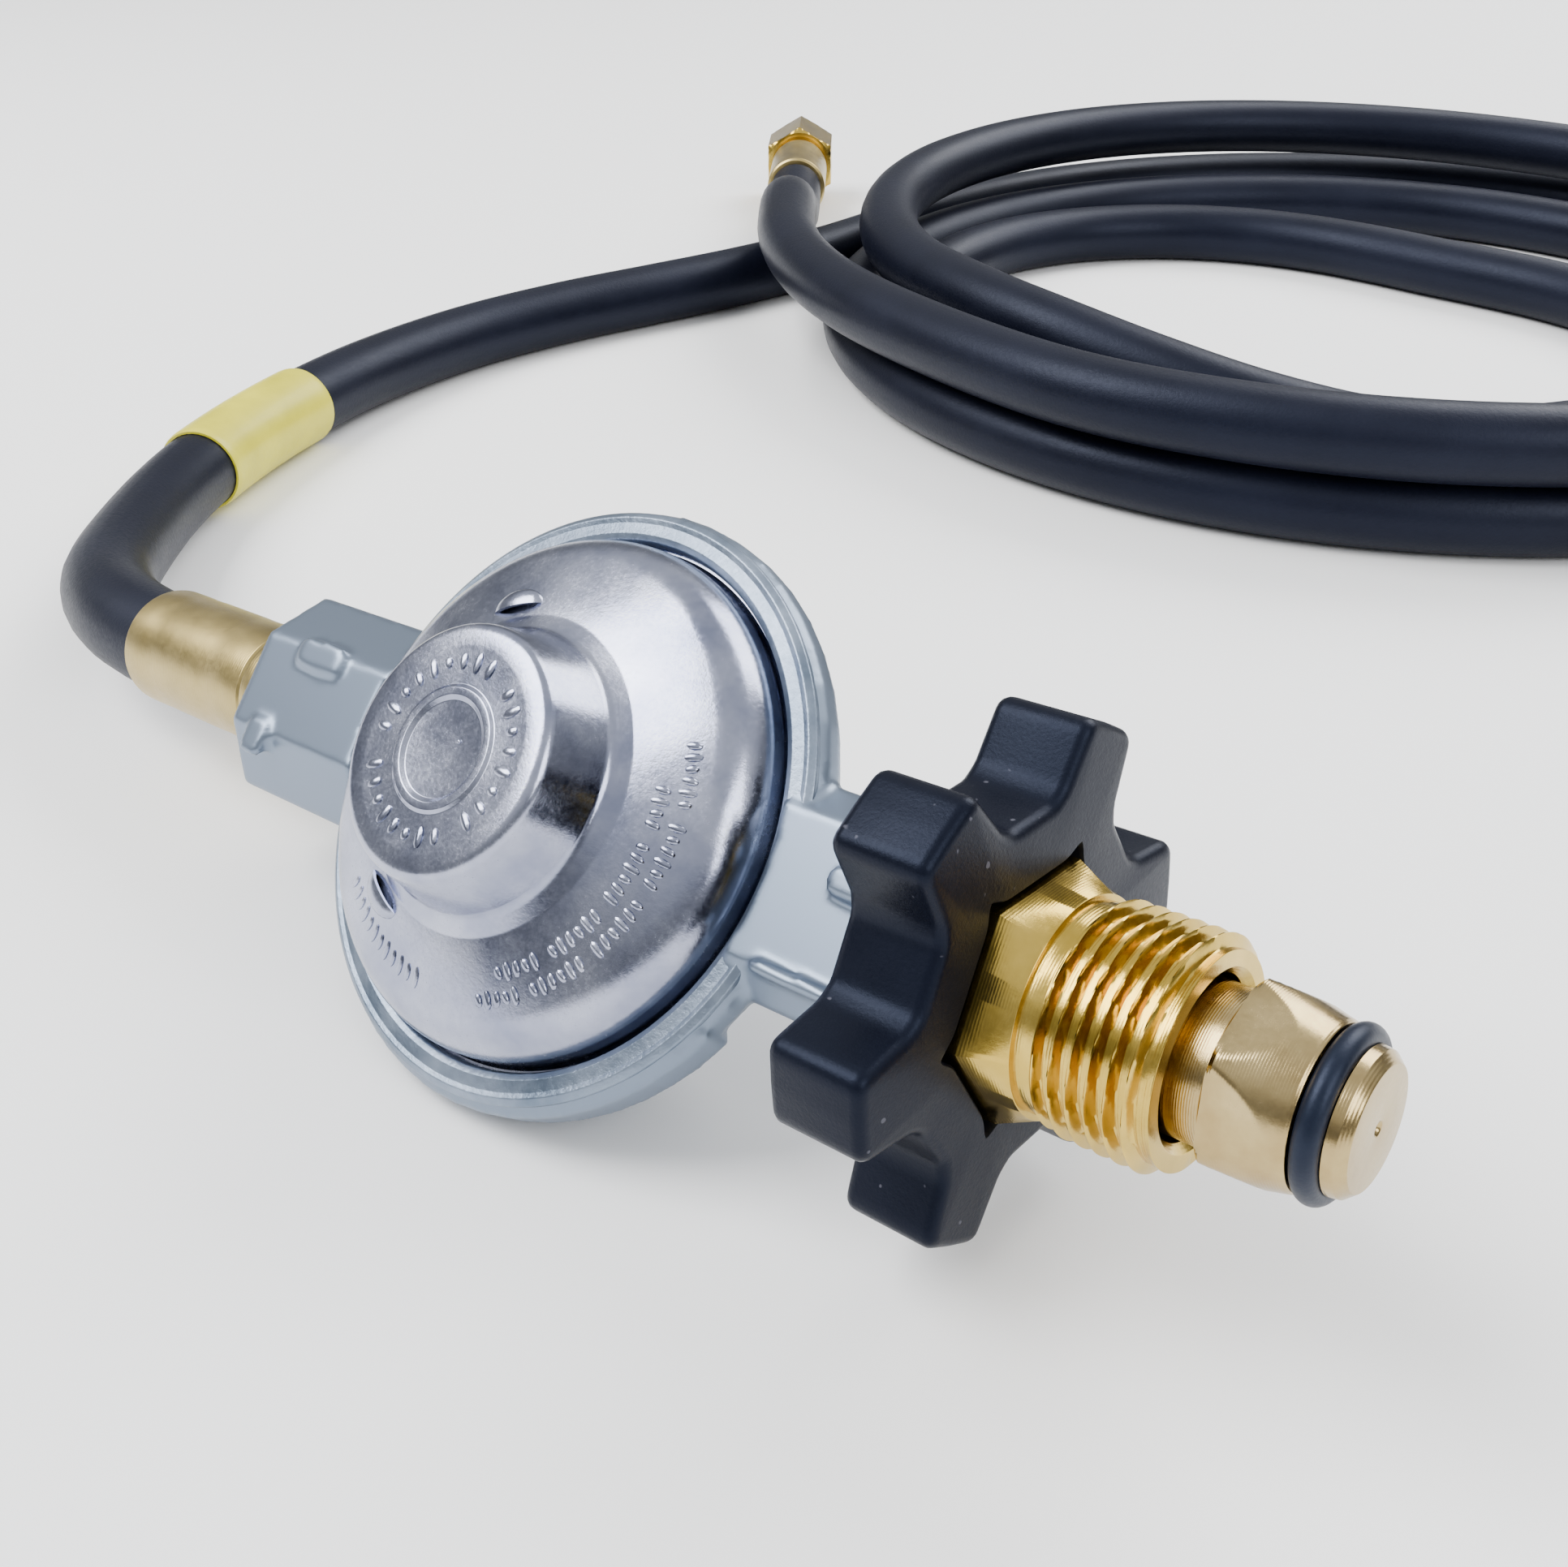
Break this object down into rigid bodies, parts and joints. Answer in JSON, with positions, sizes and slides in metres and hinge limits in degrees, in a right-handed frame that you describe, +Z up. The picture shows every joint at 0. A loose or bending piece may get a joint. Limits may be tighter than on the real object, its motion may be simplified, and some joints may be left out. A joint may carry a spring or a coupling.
{
  "type": "propane regulator hose",
  "caption": "Low-pressure propane regulator with a soft-nosed POL handwheel inlet and a long coiled rubber hose ending in a flare swivel nut",
  "frame": {"origin": "on the supporting surface, under the middle of the regulator's own footprint (free hose and its end fitting not counted)", "axes": "+Z up; +X along the plan view of the flow axis, towards the POL nose; +Y away from the viewer, where the hose is coiled"},
  "size_m": [0.3401, 0.4555, 0.0538],
  "materials": {
    "zinc": "satin",
    "plated_cover": "satin",
    "diaphragm_rubber": "matte",
    "steel": "satin",
    "spring_steel": "satin",
    "brass": "satin",
    "nose_brass": "satin",
    "ferrule_brass": "satin",
    "sintered_bronze": "matte",
    "seal_rubber": "satin",
    "black_plastic": "satin",
    "hose_rubber": "satin",
    "yellow_label": "satin"
  },
  "bodies": {
    "regulator": {"regulator_body": "zinc", "bonnet": "plated_cover", "diaphragm": "diaphragm_rubber", "main_spring": "spring_steel", "lever_pin": "steel", "pin_screw_near": "steel", "pin_screw_far": "steel", "inlet_orifice": "brass", "inlet_filter": "sintered_bronze", "pol_nipple": "nose_brass", "nose_o_ring": "seal_rubber", "outlet_insert": "brass", "regulator_ferrule": "ferrule_brass", "hose_lead": "hose_rubber", "hose_label": "yellow_label", "hose_coil": "hose_rubber", "hose_tail": "hose_rubber", "end_ferrule": "ferrule_brass", "end_stem": "brass"},
    "pol_connector": {"pol_nut": "brass", "handwheel": "black_plastic"},
    "diaphragm_assembly": {"diaphragm_plate": "steel", "diaphragm_stem": "brass", "relief_spring": "spring_steel", "relief_retainer": "steel"},
    "lever": {"lever": "steel"},
    "valve_plunger": {"valve_plunger": "brass", "valve_seat_disc": "diaphragm_rubber"},
    "flare_swivel": {"flare_nut": "brass"}
  },
  "joints": [
    {"name": "handwheel_spin", "type": "hinge", "parent": "regulator", "child": "pol_connector", "pos_m": [0.05108, 0.00135, 0.02885], "axis": [0.9962, 0, 0.0872], "continuous": true},
    {"name": "diaphragm_travel", "type": "slide", "parent": "regulator", "child": "diaphragm_assembly", "axis": [-0.0583, -0.7431, 0.6666], "range_m": [0, 0.002], "stiffness_N_per_m": 300, "deforming": ["diaphragm", "main_spring"]},
    {"name": "lever_swing", "type": "hinge", "parent": "regulator", "child": "lever", "pos_m": [0.01253, 0.00521, 0.02199], "axis": [-0.0648, 0.6691, 0.7403], "range_deg": [0, 8.2]},
    {"name": "valve_slide", "type": "slide", "parent": "regulator", "child": "valve_plunger", "axis": [0.9962, 0, 0.0872], "range_m": [0, 0.000748]},
    {"name": "flare_nut_spin", "type": "hinge", "parent": "regulator", "child": "flare_swivel", "pos_m": [-0.23686, 0.31401, 0.01222], "axis": [-0.6224, 0.7826, -0.0137], "continuous": true}
  ],
  "couplings": [
    {"joint": "lever_swing", "follows": "diaphragm_travel", "rad_per_m": 71.429},
    {"joint": "valve_slide", "follows": "diaphragm_travel", "ratio": 0.37143}
  ]
}
